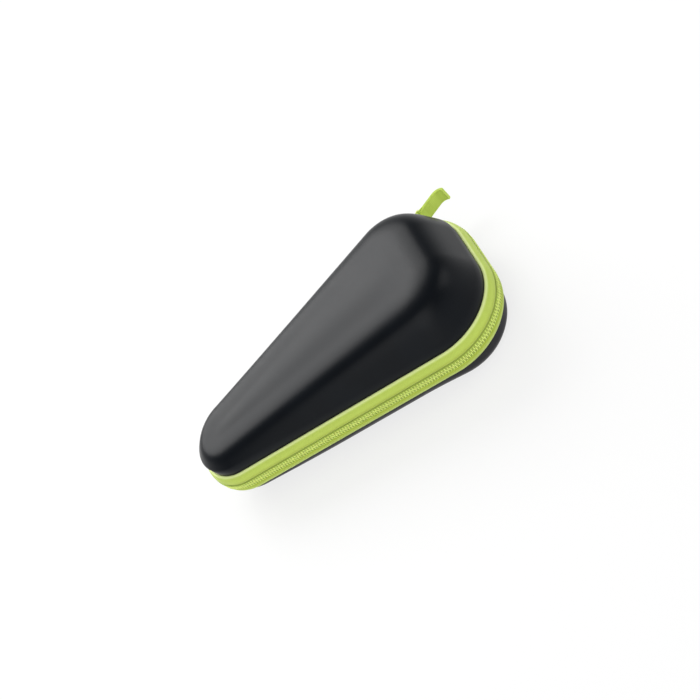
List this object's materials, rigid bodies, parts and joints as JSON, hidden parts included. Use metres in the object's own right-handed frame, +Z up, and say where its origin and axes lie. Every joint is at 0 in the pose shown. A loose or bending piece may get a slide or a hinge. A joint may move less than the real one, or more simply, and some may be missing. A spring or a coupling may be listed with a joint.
{
  "type": "zip case",
  "caption": "Moulded hard case for an electric shaver: tapered two-shell body with rounded ends, side hinge, coil zip band, slider with ribbon pull, elastic strap and net pocket.",
  "frame": {"origin": "on the sole's flat underside, at the middle of the case's length and width without the pull", "axes": "+X runs along the case to its wide end, -Y faces the side that opens, +Y the hinge side, +Z is up with the sole on a table"},
  "size_m": [0.195, 0.1081, 0.0582],
  "materials": {
    "skin": "smooth charcoal leathercloth, satin",
    "foam": "moulded closed-cell foam board, matt",
    "lining": "brushed knit lining, matt",
    "binding": "woven edge binding, matt",
    "zip_tape": "woven lime zip tape, matt",
    "zip_coil": "lime nylon coil, low sheen",
    "elastic": "black elastic webbing, matt",
    "net": "black open net, matt",
    "slider": "lime lacquered die casting",
    "ribbon": "woven lime ribbon, matt"
  },
  "bodies": {
    "base": {"base_skin": "skin", "base_foam": "foam", "base_lining": "lining", "base_edge_binding": "binding", "base_zip_tape": "zip_tape", "base_zip_coil": "zip_coil", "hinge_tape_lower": "zip_tape", "zip_bottom_stop": "zip_coil", "zip_top_stop_lower": "zip_coil", "zip_top_stop_upper": "zip_coil", "upper_coil_end": "zip_coil", "strap": "elastic", "strap_anchor_near": "elastic", "strap_anchor_far": "elastic"},
    "lid": {"lid_skin": "skin", "lid_foam": "foam", "lid_lining": "lining", "lid_edge_binding": "binding", "lid_zip_tape": "zip_tape", "lid_zip_coil": "zip_coil", "hinge_tape_upper": "zip_tape", "pocket_net": "net", "pocket_hem": "elastic"},
    "slider": {"slider_body": "slider", "slider_bridge": "slider"},
    "loop": {"pull_loop": "slider"},
    "ribbon": {"pull_ribbon": "ribbon"}
  },
  "joints": [
    {"name": "lid_hinge", "type": "hinge", "parent": "base", "child": "lid", "pos_m": [0.05293, 0.04849, 0.02125], "axis": [-0.9857, -0.1685, 0], "range_deg": [0, 140]},
    {"name": "slider_travel", "type": "hinge", "parent": "base", "child": "slider", "pos_m": [0.059, 0.013, 0.02125], "axis": [0, 0, 1], "range_deg": [-62, 0], "deforming": ["base_zip_coil", "lid_zip_coil", "upper_coil_end"]},
    {"name": "pull_swing", "type": "hinge", "parent": "slider", "child": "loop", "pos_m": [0.0714, 0.04907, 0.02125], "axis": [0, 0, 1], "range_deg": [-30, 130]},
    {"name": "ribbon_swing", "type": "hinge", "parent": "loop", "child": "ribbon", "pos_m": [0.0793, 0.05219, 0.02125], "axis": [0, 0, 1], "range_deg": [-75, 75], "deforming": ["pull_ribbon"]}
  ]
}
